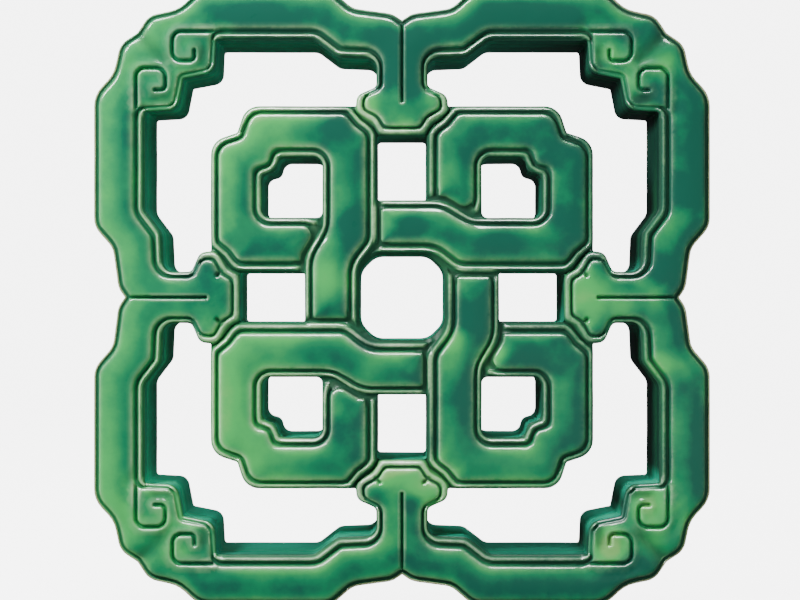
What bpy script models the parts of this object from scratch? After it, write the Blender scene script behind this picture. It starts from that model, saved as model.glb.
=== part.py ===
"""Openwork breeze block: one pressed, glazed and fired tile, 300 mm square, standing on its lower edge.

Four bracket-shaped bars close into a lobed frame. Their ends turn in, side by side, at the middle of
each side, and hold an endless knot by cloud-shaped heads. The tile is drawn lying on its back, face up,
with its middle at the origin, and is then stood up, so that its face looks along -Y.

The face is one relief. From every edge it rises to a narrow bead, drops into a groove, and rises again
to the shoulder of a flat body. Those four lines run at set distances beside each other, and the face is
lofted across them. Slits, scrolls and clefts are cut along paths of their own.
"""

import math

import bmesh
import bpy
import numpy as np
from mathutils import Vector
from mathutils.geometry import delaunay_2d_cdt

# Driving sizes, in millimetres
MM = 0.001
SIDE = 300.0
THICK = 50.0
HALF = SIDE / 2

# Heights above the back: a body is as high as the tile is thick
EDGE_TOP = 48.0
BEAD_TOP = 48.8
GROOVE_FLOOR = 47.2
CLEFT_FLOOR = 45.5

# How far the slopes of a cut reach on either side of its path
CUT_REACH = 1.5

# Rounding
ARC_STEP = math.radians(30)
LEAST_TURN = math.radians(4)
LEAST_FILLET = 0.4
LEAST_GROOVE_FILLET = 0.8
MOST_OF_A_SIDE = 0.48
NEARLY_STRAIGHT = 0.02
WELD = 0.01
SHARP = math.radians(35)

# How far the bead's crest, the groove and the body's shoulder run from the edge, by place
CREST, GROOVE, SHOULDER = range(3)
RIM_OUTSIDE = (0.8, 2.2, 3.6)
RIM_INSIDE = (2.2, 4.3, 6.3)
RIM_LOOP = (1.1, 2.8, 4.7)
RIM_HOLE = (1.3, 3.1, 5.2)
RIM_HEAD = (1.1, 2.8, 4.6)
RIM_STEM = (0.8, 2.2, 3.6)
RIM_SCROLL = (0.6, 1.9, 3.4)
RIM_END = (0.1, 1.4, 2.7)

# The frame's two outlines: corners (across, out, fillet, rim after it), from a side's middle to the diagonal
NOTCH = 135.0
LOBE = 128.8
FRAME_OUTSIDE = [
    (0.0, NOTCH, 0.0, RIM_OUTSIDE),
    (4.6, 138.2, 6.0, RIM_OUTSIDE),
    (24.0, 140.8, 7.0, RIM_OUTSIDE),
    (34.5, HALF, 9.0, RIM_OUTSIDE),
    (98.5, HALF, 9.0, RIM_OUTSIDE),
    (109.0, 140.3, 6.0, RIM_OUTSIDE),
    (123.0, 137.1, 5.0, RIM_OUTSIDE),
    (LOBE, LOBE, 4.0, RIM_OUTSIDE),
]
BAR = 125.2
STEM = 12.5
HEAD_FOOT = 79.0
STEP = 106.5
FRAME_INSIDE = [
    (0.0, HEAD_FOOT, 0.0, RIM_HEAD),
    (10.8, HEAD_FOOT, 2.0, RIM_HEAD),
    (14.3, 85.3, 3.0, RIM_HEAD),
    (22.6, 89.6, 4.5, RIM_HEAD),
    (21.9, 98.4, 5.0, RIM_SCROLL),
    (STEM, 102.6, 3.0, RIM_STEM),
    (STEM, 116.0, 5.0, RIM_INSIDE),
    (31.5, 116.8, 6.0, RIM_INSIDE),
    (42.5, BAR, 6.0, RIM_INSIDE),
    (90.4, BAR, 1.2, RIM_SCROLL),
    (91.2, 109.5, 5.5, RIM_SCROLL),
    (STEP, STEP, 0.8, RIM_SCROLL),
]
LOBE_OF_HEAD = 4

# The knot: where its arms run, from the tile's middle lines
NEAR, FAR = 12.1, 38.8
SHIFTED_NEAR, SHIFTED_FAR = 21.2, 47.3
LOOP = 93.1
LOOP_HOLE = 68.1
INDENT = 80.2
MIDDLE = 20.7
MIDDLE_CUT = 13.2

# The upper left quarter of the knot's ribbon, from the end that comes out under the crossing, clockwise
# round the loop, over the crossing, down to the next one, and back along its inner edge
RIBBON = [
    (-SHIFTED_FAR, NEAR, 0.8, RIM_INSIDE),
    (-81.0, NEAR, 5.0, RIM_HOLE),
    (-86.7, 19.8, 3.0, RIM_HOLE),
    (-LOOP, 25.0, 4.0, RIM_LOOP),
    (-LOOP, 76.0, 9.0, RIM_LOOP),
    (-INDENT, INDENT, 1.5, RIM_LOOP),
    (-76.0, LOOP, 9.0, RIM_LOOP),
    (-25.0, LOOP, 4.0, RIM_HOLE),
    (-19.8, 86.7, 3.0, RIM_HOLE),
    (-NEAR, 81.0, 5.0, RIM_INSIDE),
    (-NEAR, 26.7, 6.0, RIM_INSIDE),
    (-SHIFTED_NEAR, 15.0, 6.0, RIM_INSIDE),
    (-SHIFTED_NEAR, -16.4, 0.8, RIM_END),
    (-26.7, -NEAR, 3.0, RIM_END),
    (-SHIFTED_FAR, -NEAR, 0.8, RIM_LOOP),
    (-SHIFTED_FAR, 20.2, 9.0, RIM_LOOP),
    (-FAR, 34.2, 8.0, RIM_LOOP),
    (-FAR, LOOP_HOLE, 4.5, RIM_HOLE),
    (-59.8, LOOP_HOLE, 3.0, RIM_HOLE),
    (-61.8, 61.8, 2.5, RIM_HOLE),
    (-LOOP_HOLE, 59.8, 2.5, RIM_HOLE),
    (-LOOP_HOLE, FAR, 4.5, RIM_LOOP),
    (-FAR, FAR, 0.8, RIM_END),
    (-FAR, 34.2, 8.0, RIM_END),
    (-SHIFTED_FAR, 20.2, 9.0, RIM_END),
]

# Openings of the knot and of the four sides: corners (across, out, fillet)
HOLE_IN_LOOP = [
    (FAR, FAR, 3.0),
    (LOOP_HOLE, FAR, 4.5),
    (LOOP_HOLE, 59.8, 2.5),
    (61.8, 61.8, 2.5),
    (59.8, LOOP_HOLE, 3.0),
    (FAR, LOOP_HOLE, 4.5),
]
HOLE_IN_SIDE = [
    (-NEAR, SHIFTED_FAR, 1.5),
    (NEAR, SHIFTED_FAR, 1.5),
    (NEAR, HEAD_FOOT, 1.5),
    (-NEAR, HEAD_FOOT, 1.5),
]
CREVICE = (22.5, LOOP, 0.6)
LOOP_CORNER = [(76.0, LOOP, 9.0), (INDENT, INDENT, 1.5)]

# Cuts of their own: the slit between two bracket ends, the cleft beside a head, and a scroll
SLIT = [(0.0, NOTCH - 3.0, 0), (0.0, 95.4, 0)]
CLEFT = [(24.4, 94.0, 0), (22.5, 90.2, 1), (18.5, 86.5, 2), (13.6, 82.8, 2), (11.2, 78.0, 0)]
SCROLL_LINE = BAR + RIM_INSIDE[GROOVE]
SCROLL = [
    (92.0, SCROLL_LINE, 0),
    (111.6, SCROLL_LINE, 3.2),
    (111.6, 115.0, 3.2),
    (100.6, 115.0, 2.6),
    (100.6, 120.2, 0),
]
WEB = [(MIDDLE_CUT, MIDDLE, 0), (MIDDLE, MIDDLE_CUT, 0)]

GLAZE = {"Base Color": (0.06, 0.30, 0.15, 1.0), "Roughness": 0.15, "Coat Weight": 0.6}


# Outlines


def turned(corners, quarters):
    """The corners after this many quarter turns, clockwise."""
    for _ in range(quarters):
        corners = [(y, -x, *rest) for x, y, *rest in corners]
    return corners


def mirrored(corners):
    """The corners on the other side of the diagonal, in the opposite order."""
    return [(y, x, *rest) for x, y, *rest in reversed(corners)]


def ring_of(octant):
    """A whole ring, clockwise, from its corners between a side's middle and the diagonal."""
    rims = [rim for *_, rim in octant]
    forward = octant[:-1] + [(*octant[-1][:3], rims[-2])]
    back = [(*corner[:3], rim) for corner, rim in zip(mirrored(octant[1:-1]), rims[-3::-1])]
    quarter = forward + back
    return [corner for k in range(4) for corner in turned(quarter, k)]


def seen_from_inside(ring):
    """The same ring anticlockwise, each rim still on its own stretch."""
    rims = [rim for *_, rim in ring]
    return [(*corner[:3], rims[len(ring) - 2 - i]) for i, corner in enumerate(ring[::-1])]


def fillet(before, corner, after, radius):
    """Points of the arc that rounds a corner, or the corner alone."""
    sides = []
    for end in (before, after):
        dx, dy = end[0] - corner[0], end[1] - corner[1]
        length = math.hypot(dx, dy)
        sides.append((dx / length, dy / length, length))
    (ax, ay, a_length), (bx, by, b_length) = sides
    inner = math.acos(max(-1.0, min(1.0, ax * bx + ay * by)))
    turn = math.pi - inner
    if radius < LEAST_FILLET or turn < LEAST_TURN:
        return [corner[:2]]
    reach = min(radius / math.tan(inner / 2), MOST_OF_A_SIDE * min(a_length, b_length))
    radius = reach * math.tan(inner / 2)
    away = radius / math.sin(inner / 2) / math.hypot(ax + bx, ay + by)
    centre = (corner[0] + (ax + bx) * away, corner[1] + (ay + by) * away)
    start = math.atan2(corner[1] + ay * reach - centre[1], corner[0] + ax * reach - centre[0])
    side = 1 if ax * by - ay * bx < 0 else -1
    steps = max(1, math.ceil(turn / ARC_STEP))
    angles = [start + side * turn * k / steps for k in range(steps + 1)]
    return [(centre[0] + radius * math.cos(a), centre[1] + radius * math.sin(a)) for a in angles]


def rounded(corners, closed=True):
    """The outline through the corners, each with its own fillet."""
    points = []
    for i, corner in enumerate(corners):
        if not closed and i in (0, len(corners) - 1):
            points.append(corner[:2])
            continue
        after = corners[(i + 1) % len(corners)]
        points += fillet(corners[i - 1], corner, after, corner[2])
    return points


def crossing(first, second):
    """Where two straight lines meet, each one a point, a direction and a width. Lines that run on from
    each other meet halfway between them."""
    (px, py), (ax, ay), a_width = first[:3]
    (qx, qy), (bx, by), b_width = second[:3]
    cross = ax * by - ay * bx
    if abs(cross) < NEARLY_STRAIGHT:
        half = (a_width - b_width) / 2
        return qx + by * half, qy - bx * half
    along = ((qx - px) * by - (qy - py) * bx) / cross
    return px + ax * along, py + ay * along


def inset(corners, line):
    """A clockwise ring moved into its material, on each stretch by its rim's width up to this line.
    A stretch too short to be left is dropped."""
    stretches = []
    for i, (x, y, radius, rim) in enumerate(corners):
        x1, y1 = corners[(i + 1) % len(corners)][:2]
        length = math.hypot(x1 - x, y1 - y)
        dx, dy = (x1 - x) / length, (y1 - y) / length
        width = rim[line]
        stretches.append(((x + dy * width, y - dx * width), (dx, dy), width, radius))
    dropped = True
    while dropped:
        around = list(zip(stretches[-1:] + stretches[:-1], stretches))
        starts = [crossing(before, stretch) for before, stretch in around]
        ends = starts[1:] + starts[:1]
        dropped = [
            i
            for i, (_, (dx, dy), *_) in enumerate(stretches)
            if (ends[i][0] - starts[i][0]) * dx + (ends[i][1] - starts[i][1]) * dy < 0
        ]
        for i in dropped[:1]:
            del stretches[i]
    moved = []
    for (before, stretch), (x, y) in zip(around, starts):
        (ax, ay), (bx, by) = before[1], stretch[1]
        width = (before[2] + stretch[2]) / 2
        outward = stretch[3] - width if ax * by < ay * bx else stretch[3] + width
        moved.append((x, y, max(outward, LEAST_GROOVE_FILLET)))
    return moved


def round_a_cut(points):
    """The outline of a cut along an open path: down one side, round the end and back on the other."""
    left, right = [], []
    for i, (x, y) in enumerate(points):
        x0, y0 = points[max(i - 1, 0)]
        x1, y1 = points[min(i + 1, len(points) - 1)]
        length = math.hypot(x1 - x0, y1 - y0)
        dx, dy = (x1 - x0) / length * CUT_REACH, (y1 - y0) / length * CUT_REACH
        left.append((x - dy, y + dx))
        right.append((x + dy, y - dx))
    tips = [(points[-1][0] + dx, points[-1][1] + dy)]
    return left + tips + right[::-1]


def corner_opening():
    """The opening between the frame's corner and the knot's loop, upper right."""
    half = [corner[:3] for corner in reversed(FRAME_INSIDE[LOBE_OF_HEAD:])] + [CREVICE] + LOOP_CORNER
    return half + mirrored(half[1:-1])


def openings():
    """The outline of each of the thirteen openings."""
    octagon = [(MIDDLE_CUT, MIDDLE, 5.0), (MIDDLE, MIDDLE_CUT, 5.0)]
    found = [[corner for k in range(4) for corner in turned(octagon, k)]]
    for k in range(4):
        found += [turned(shape, k) for shape in (corner_opening(), HOLE_IN_LOOP, HOLE_IN_SIDE)]
    return [rounded(corners) for corners in found]


def rings():
    """The closed rings that carry a rim: the frame's two and the knot's four ribbons."""
    frame = [ring_of(FRAME_OUTSIDE), seen_from_inside(ring_of(FRAME_INSIDE))]
    return frame + [turned(RIBBON, k) for k in range(4)]


def paths(shape, flips=(1, -1)):
    """An open path and its mirror image, on all four sides, rounded."""
    found = []
    for k in range(4):
        for flip in flips:
            found.append(rounded(turned([(flip * x, y, r) for x, y, r in shape], k), closed=False))
    return found


# The face


def distance(points, line):
    """How far each point is from a line of stretches."""
    line = np.array(line)
    start, run = line[:-1], np.diff(line, axis=0)
    away = points[:, None] - start[None]
    along = np.clip((away * run).sum(-1) / (run**2).sum(-1), 0.0, 1.0)
    return np.linalg.norm(away - along[..., None] * run, axis=-1).min(axis=1)


def inside(points, outline):
    """Whether each point lies within a closed outline."""
    x, y = points[:, :1], points[:, 1:]
    start = np.array(outline)
    end = np.roll(start, -1, axis=0)
    spans = (start[:, 1] > y) != (end[:, 1] > y)
    rise = np.where(end[:, 1] == start[:, 1], 1.0, end[:, 1] - start[:, 1])
    meets = start[:, 0] + (y - start[:, 1]) / rise * (end[:, 0] - start[:, 0])
    return (spans & (x < meets)).sum(axis=1) % 2 == 1


class Face:
    """The tile's face in plan: its lines, their triangulation, and the height of every point."""

    def __init__(self):
        self.edges = [rounded(ring_of(FRAME_OUTSIDE))] + openings()
        self.crests = [rounded(inset(ring, CREST)) for ring in rings()]
        self.grooves = [rounded(inset(ring, GROOVE)) for ring in rings()]
        self.shoulders = [rounded(inset(ring, SHOULDER)) for ring in rings()]
        self.cuts = paths(SLIT, (1,)) + paths(SCROLL)
        self.clefts = paths(CLEFT) + paths(WEB, (1,))

    def triangulate(self):
        """Points and triangles of the material, with every line kept as edges."""
        points, edges = [], []
        lines = self.edges + self.crests + self.grooves + self.shoulders
        lines += [round_a_cut(cut) for cut in self.cuts]
        lines = [line + line[:1] for line in lines]
        for line in lines + self.cuts + self.clefts:
            first = len(points)
            points += [Vector(point) for point in line]
            edges += [(first + i, first + i + 1) for i in range(len(line) - 1)]
        flat, _, faces, *_ = delaunay_2d_cdt(points, edges, [], 0, WELD)
        flat = np.array([tuple(point) for point in flat])
        faces = np.array(faces)
        middles = flat[faces].mean(axis=1)
        kept = inside(middles, self.edges[0])
        for opening in self.edges[1:]:
            kept &= ~inside(middles, opening)
        return flat, faces[kept]

    def heights(self, points):
        """The height of each point: a body, the bead beside it or an edge, lowered along the cuts."""
        body = inside(points, self.grooves[0]) & ~inside(points, self.grooves[1])
        for ribbon in self.grooves[2:]:
            body = body | inside(points, ribbon)
        height = np.where(body, THICK, BEAD_TOP)
        for edge in self.edges:
            height[distance(points, edge + edge[:1]) < WELD] = EDGE_TOP
        lines = [(line + line[:1], GROOVE_FLOOR) for line in self.grooves]
        lines += [(line, GROOVE_FLOOR) for line in self.cuts] + [(line, CLEFT_FLOOR) for line in self.clefts]
        lowest = height.copy()
        for line, floor in lines:
            rise = np.minimum(distance(points, line) / CUT_REACH, 1.0)
            lowest = np.minimum(lowest, floor + rise * (height - floor))
        return lowest


def tile_mesh():
    """The face, its walls and its flat back, as one closed mesh."""
    face = Face()
    points, faces = face.triangulate()
    heights = face.heights(points)
    work = bmesh.new()
    verts = [work.verts.new((x * MM, y * MM, z * MM)) for (x, y), z in zip(points, heights)]
    for corners in faces:
        work.faces.new([verts[i] for i in corners])
    for vert in [v for v in verts if not v.link_faces]:
        work.verts.remove(vert)
    rim = [edge for edge in work.edges if edge.is_boundary]
    walls = bmesh.ops.extrude_edge_only(work, edges=rim)["geom"]
    foot = [v for v in walls if isinstance(v, bmesh.types.BMVert)]
    for vert in foot:
        vert.co.z = 0.0
    rim = [edge for edge in work.edges if edge.is_boundary]
    bmesh.ops.triangle_fill(work, use_beauty=True, edges=rim)
    bmesh.ops.recalc_face_normals(work, faces=work.faces)
    mesh = bpy.data.meshes.new("breeze_block")
    work.to_mesh(mesh)
    work.free()
    return mesh


def glaze_material():
    material = bpy.data.materials.new("green_glaze")
    material.use_nodes = True
    shader = material.node_tree.nodes["Principled BSDF"]
    for name, value in GLAZE.items():
        shader.inputs[name].default_value = value
    return material


def main():
    for old in list(bpy.data.objects):
        bpy.data.objects.remove(old)
    parts = bpy.data.collections.new("breeze_block_tile")
    bpy.context.scene.collection.children.link(parts)

    # The middle of the tile's back, stood up
    back = bpy.data.objects.new("back_middle", None)
    back.location = (0.0, THICK / 2 * MM, HALF * MM)
    back.rotation_euler = (math.pi / 2, 0.0, 0.0)
    parts.objects.link(back)

    mesh = tile_mesh()
    mesh.shade_smooth()
    mesh.set_sharp_from_angle(angle=SHARP)
    mesh.materials.append(glaze_material())
    tile = bpy.data.objects.new("breeze_block", mesh)
    tile.parent = back
    parts.objects.link(tile)


main()
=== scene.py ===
"""Openwork breeze block, dressed: the fine glazed relief, its camera, its floor and its light.

The tile is worked out lying on its back, face up, in millimetres, and then stood up. Its face is a flat
triangulated plan, and a node tree raises the relief: beads, grooves, shoulders, crowned bodies, scrolls,
slits and clefts, each by its distance from a line of the plan.
"""

import math

import bmesh
import bpy
import numpy as np
from mathutils import Matrix, Vector
from mathutils.geometry import delaunay_2d_cdt
from mathutils.kdtree import KDTree

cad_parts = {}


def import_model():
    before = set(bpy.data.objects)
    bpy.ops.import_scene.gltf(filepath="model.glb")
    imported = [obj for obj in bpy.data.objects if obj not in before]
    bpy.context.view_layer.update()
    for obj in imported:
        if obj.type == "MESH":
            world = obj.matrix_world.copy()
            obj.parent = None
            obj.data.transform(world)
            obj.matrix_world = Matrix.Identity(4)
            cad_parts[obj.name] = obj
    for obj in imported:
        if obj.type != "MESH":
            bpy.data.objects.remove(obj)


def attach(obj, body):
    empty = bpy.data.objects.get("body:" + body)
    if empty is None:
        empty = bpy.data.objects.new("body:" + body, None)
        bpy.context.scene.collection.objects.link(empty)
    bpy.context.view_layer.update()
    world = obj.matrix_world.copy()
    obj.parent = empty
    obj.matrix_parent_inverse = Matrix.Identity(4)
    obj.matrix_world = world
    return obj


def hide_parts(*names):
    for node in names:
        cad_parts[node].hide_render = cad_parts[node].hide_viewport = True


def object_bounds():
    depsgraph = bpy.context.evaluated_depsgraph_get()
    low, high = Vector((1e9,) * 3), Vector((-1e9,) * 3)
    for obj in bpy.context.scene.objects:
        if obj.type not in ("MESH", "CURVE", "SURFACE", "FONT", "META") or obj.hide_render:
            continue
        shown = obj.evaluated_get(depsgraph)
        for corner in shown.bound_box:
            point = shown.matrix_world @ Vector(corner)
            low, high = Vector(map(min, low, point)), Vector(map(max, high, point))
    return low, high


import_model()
cad_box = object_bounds()

MM = 0.001
HALF = (cad_box[1][0] - cad_box[0][0]) / 2 / MM
THICK = (cad_box[1][1] - cad_box[0][1]) / MM

# Rounding and fineness of the plan
ARC_STEP = math.radians(12)
LEAST_TURN = math.radians(4)
LEAST_FILLET = 0.4
LEAST_ROW_FILLET = 0.8
ROUNDING_INWARD = 0.6
NEARLY_STRAIGHT = 0.02
WELD = 0.01
ALONG = 2.1
GRID = 2.6
GRID_CLEAR = 1.1

# How far the body's shoulder runs from the edge, by place
RIM_OUTSIDE = 3.2
RIM_INSIDE = 6.0
RIM_LOOP = 4.5
RIM_HOLE = 5.2
RIM_HEAD = 4.6
RIM_STEM = 3.6
RIM_SCROLL = 3.0
RIM_END = 2.2

# The four ways a shoulder can look
FACINGS = {"Left": (-1.0, 0.0), "Right": (1.0, 0.0), "Top": (0.0, 1.0), "Bottom": (0.0, -1.0)}

# Rows of the plan: shares of the rim, distances past the shoulder, and distances from a cut
RIM_ROWS = (0.04, 0.10, 0.17, 0.25, 0.34, 0.43, 0.52, 0.60, 0.68, 0.76, 0.85, 0.93, 1.0)
BODY_ROWS = (0.5, 1.0, 1.8, 3.0)
CUT_ROWS = (0.3, 0.6, 0.95, 1.3, 1.8, 2.5)

# The frame's two outlines: corners (across, out, fillet, rim after it), from a side's middle to the diagonal
NOTCH = 135.0
LOBE = 128.8
FRAME_OUTSIDE = [
    (0.0, NOTCH, 0.0, RIM_OUTSIDE),
    (4.6, 138.2, 12.0, RIM_OUTSIDE),
    (24.0, 140.8, 10.0, RIM_OUTSIDE),
    (34.5, HALF, 11.0, RIM_OUTSIDE),
    (98.5, HALF, 14.0, RIM_OUTSIDE),
    (109.0, 140.3, 16.0, RIM_OUTSIDE),
    (123.3, 137.3, 10.0, RIM_OUTSIDE),
    (LOBE, LOBE, 4.0, RIM_OUTSIDE),
]
BAR = 125.2
STEM = 12.5
HEAD_FOOT = 79.0
STEP = 106.5
FRAME_INSIDE = [
    (0.0, HEAD_FOOT, 0.0, RIM_HEAD),
    (10.8, HEAD_FOOT, 4.0, RIM_HEAD),
    (14.3, 85.3, 4.0, RIM_HEAD),
    (22.8, 89.6, 5.5, RIM_HEAD),
    (21.9, 98.4, 5.0, RIM_SCROLL),
    (STEM, 102.6, 3.0, RIM_STEM),
    (STEM, 116.0, 5.0, RIM_INSIDE),
    (31.5, 116.8, 6.0, RIM_INSIDE),
    (42.5, BAR, 6.0, RIM_INSIDE),
    (90.4, BAR, 1.2, RIM_SCROLL),
    (91.2, 109.5, 5.5, RIM_SCROLL),
    (STEP, STEP, 0.8, RIM_SCROLL),
]

# Which of these corners is the head's lobe, where a corner's opening ends
LOBE_OF_HEAD = 4

# Where a rim is a head's: nearer than this to its side's middle line, and less far out than this
HEAD_WIDTH = 27.0
HEAD_TOP = 98.0

# The knot: where its arms run, from the tile's middle lines
NEAR, FAR = 12.1, 38.8
SHIFTED_NEAR, SHIFTED_FAR = 21.2, 47.3
LOOP = 93.1
LOOP_HOLE = 68.1
INDENT = 80.2
MIDDLE = 20.7
MIDDLE_CUT = 13.2

# The upper left quarter of the knot's ribbon, clockwise from the end that comes out under the crossing
RIBBON = [
    (-SHIFTED_FAR, NEAR, 0.8, RIM_INSIDE),
    (-81.0, NEAR, 5.0, RIM_HOLE),
    (-86.7, 19.8, 3.0, RIM_HOLE),
    (-LOOP, 25.0, 4.0, RIM_LOOP),
    (-LOOP, 76.0, 11.0, RIM_LOOP),
    (-INDENT, INDENT, 1.5, RIM_LOOP),
    (-76.0, LOOP, 11.0, RIM_LOOP),
    (-25.0, LOOP, 4.0, RIM_HOLE),
    (-19.8, 86.7, 3.0, RIM_HOLE),
    (-NEAR, 81.0, 5.0, RIM_INSIDE),
    (-NEAR, 26.7, 13.0, RIM_INSIDE),
    (-SHIFTED_NEAR, 15.0, 13.0, RIM_INSIDE),
    (-SHIFTED_NEAR, -16.4, 0.8, RIM_END),
    (-26.7, -NEAR, 3.0, RIM_END),
    (-SHIFTED_FAR, -NEAR, 0.8, RIM_LOOP),
    (-SHIFTED_FAR, 20.2, 20.0, RIM_LOOP),
    (-FAR, 34.2, 18.0, RIM_LOOP),
    (-FAR, LOOP_HOLE, 4.5, RIM_HOLE),
    (-59.6, LOOP_HOLE, 4.4, RIM_HOLE),
    (-61.3, 61.3, 4.0, RIM_HOLE),
    (-LOOP_HOLE, 59.6, 4.4, RIM_HOLE),
    (-LOOP_HOLE, FAR, 4.5, RIM_LOOP),
    (-FAR, FAR, 0.8, RIM_END),
    (-FAR, 34.2, 18.0, RIM_END),
    (-SHIFTED_FAR, 20.2, 20.0, RIM_END),
]
ENDS_OF_RIBBON = (slice(12, 15), slice(22, 26))

# Openings of the knot and of the four sides: corners (across, out, fillet)
HOLE_IN_LOOP = [
    (FAR, FAR, 3.0),
    (LOOP_HOLE, FAR, 4.5),
    (LOOP_HOLE, 59.6, 4.4),
    (61.3, 61.3, 4.0),
    (59.6, LOOP_HOLE, 4.4),
    (FAR, LOOP_HOLE, 4.5),
]
HOLE_IN_SIDE = [
    (-NEAR, SHIFTED_FAR, 1.5),
    (NEAR, SHIFTED_FAR, 1.5),
    (NEAR, HEAD_FOOT, 1.5),
    (-NEAR, HEAD_FOOT, 1.5),
]
CREVICE = (22.5, LOOP, 0.6)
LOOP_CORNER = [(76.0, LOOP, 11.0), (INDENT, INDENT, 1.5)]

# Cuts of their own: the slit between two bracket ends, the cleft beside a head, and a scroll
SLIT = [(0.0, NOTCH - 3.0, 0), (0.0, 95.4, 0)]
CLEFT = [(24.4, 94.0, 0), (22.5, 90.2, 1), (18.5, 86.5, 2), (13.6, 82.8, 2), (11.2, 78.0, 0)]
SCROLL_LINE = BAR + 0.68 * RIM_INSIDE
SCROLL = [
    (92.0, SCROLL_LINE, 0),
    (111.6, SCROLL_LINE, 4.4),
    (111.6, 115.0, 4.4),
    (100.8, 115.0, 3.6),
    (100.8, 120.0, 0),
]

# Short wide nicks in a body's edge: beside a head's foot, and above a loop's indent
HEAD_NICK = [(13.0, 87.8, 0), (10.8, 89.8, 0)]
LOOP_NICK = [(-77.9, 80.6, 0), (-77.0, 83.0, 2), (-75.4, 85.4, 0)]

# The crease between a corner's two scrolls, from the notch inward
VALLEY = [(126.0, 126.0, 0), (115.5, 115.5, 0)]

# The hollow in a scroll's lobe, between its hook and the edge
HOLLOW = [(96.2, 119.5, 0), (96.0, 113.5, 0)]

# What a point of the plan belongs to: a web below the strands, a rim, the rim of a strand's end that goes
# under another one, or a body
ON_WEB, ON_RIM, ON_END, ON_BODY = 0.0, 1.0, 2.0, 3.0

# Heights above the back
BASE = 45.0
RELIEF = 5.0
WEB = 45.6
CUT_FLOOR = 47.4
CLEFT_FLOOR = 45.2

# Sections of a rim, from the edge over the bead and down the groove to the shoulder: share, height. The
# first is the usual one
RIM_SECTION = [
    (0.0, 46.7), (0.04, 47.15), (0.10, 47.6), (0.17, 48.15), (0.25, 48.7), (0.34, 48.85), (0.43, 48.4),
    (0.52, 47.5), (0.60, 47.0), (0.68, 46.9), (0.76, 47.1), (0.85, 47.9), (0.93, 48.7), (1.0, 49.15),
]
WIDE_SECTION = [
    (0.0, 46.5), (0.04, 46.7), (0.10, 47.1), (0.17, 47.6), (0.25, 48.3), (0.34, 48.95), (0.43, 48.7),
    (0.52, 47.6), (0.60, 46.8), (0.68, 46.5), (0.76, 46.6), (0.85, 47.4), (0.93, 48.4), (1.0, 49.1),
]
SCROLL_RIM_SECTION = [
    (0.0, 46.4), (0.12, 47.0), (0.24, 47.35), (0.36, 47.45), (0.48, 47.4), (0.60, 47.4), (0.75, 47.8),
    (0.90, 48.65), (1.0, 49.15),
]
HEAD_SECTION = [
    (0.0, 46.8), (0.06, 47.4), (0.14, 48.1), (0.25, 48.6), (0.36, 48.8), (0.48, 48.65), (0.58, 48.0),
    (0.66, 47.3), (0.74, 47.1), (0.82, 47.3), (0.91, 48.3), (1.0, 49.15),
]
OUTER_SECTION = [
    (0.0, 46.9), (0.07, 47.3), (0.17, 47.5), (0.3, 47.3), (0.42, 46.95), (0.56, 46.85), (0.68, 47.3),
    (0.82, 48.5), (1.0, 49.15),
]
UNDER_SECTION = [
    (0.0, 46.6), (0.17, 46.5), (0.34, 46.5), (0.52, 46.7), (0.68, 47.1), (0.85, 47.6), (1.0, 48.1),
]

# The widths between which a rim turns wide, and stops being one beside a scroll
WIDE_RIM = (5.2, 6.1)
SCROLL_RIM = (3.1, 3.4)

# The strip along a strand's end, and how near its end line, or beside it, a rim lies under the next strand
END_ZONE = 5.6
UNDER_REACH = (0.4, 1.9)
UNDER_BESIDE = (0.1, 0.9)

# Over how far an upright stretch turns into a level one, and a web rises from its edge
LEVEL_BLEND = 4.0
WEB_BLEND = 0.6

# Reach and depth of a body's dip at its end, of the dish beside a scroll, and of a crease or a hollow
DIP_REACH = 8.0
DIP = 0.8
DISH_REACH = 8.0
DISH = 0.5
DISH_SECTION = [(0, 0.0), (0.2, 0.0), (0.26, 0.0), (0.4, 0.7), (0.55, 1.0), (0.75, 0.65), (1, 0.0)]
VALLEY_REACH = 6.5
VALLEY_DEPTH = 1.2
VALLEY_SECTION = [(0, 1.0), (0.15, 0.9), (0.4, 0.5), (0.7, 0.14), (1, 0.0)]

# The crown of a body, from its shoulder inward
BODY_REACH = 12.0
BODY_SECTION = [
    (0.0, 49.1), (0.04, 49.35), (0.08, 49.5), (0.16, 49.62), (0.30, 49.72), (0.50, 49.85), (0.75, 49.96),
    (1.0, 50.0),
]

# Which lines are cut, to what floor, how much wider than the section, and how deep the glaze pools there
CUT_REACH = 5.0
CUTS = [
    ("Scrolls", CUT_FLOOR, 1.15, 0.65),
    ("Slits", CUT_FLOOR, 0.9, 0.85),
    ("Nicks", CUT_FLOOR, 1.2, 0.85),
    ("Clefts", CLEFT_FLOOR, 0.8, 1.0),
]
CUT_SECTION = [(0.0, 1.0), (0.05, 0.94), (0.11, 0.62), (0.18, 0.25), (0.26, 0.07), (0.38, 0.0), (1.0, 0.0)]

# Scales of the faint lumps, the finer grain on them, and the waver of the walls
LUMP_SCALE = 70.0
GRAIN_SCALE = 420.0
GRAIN_SHARE = 0.25
WAVER_SCALE = 38.0
SHARP_EDGE = math.radians(55)

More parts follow.
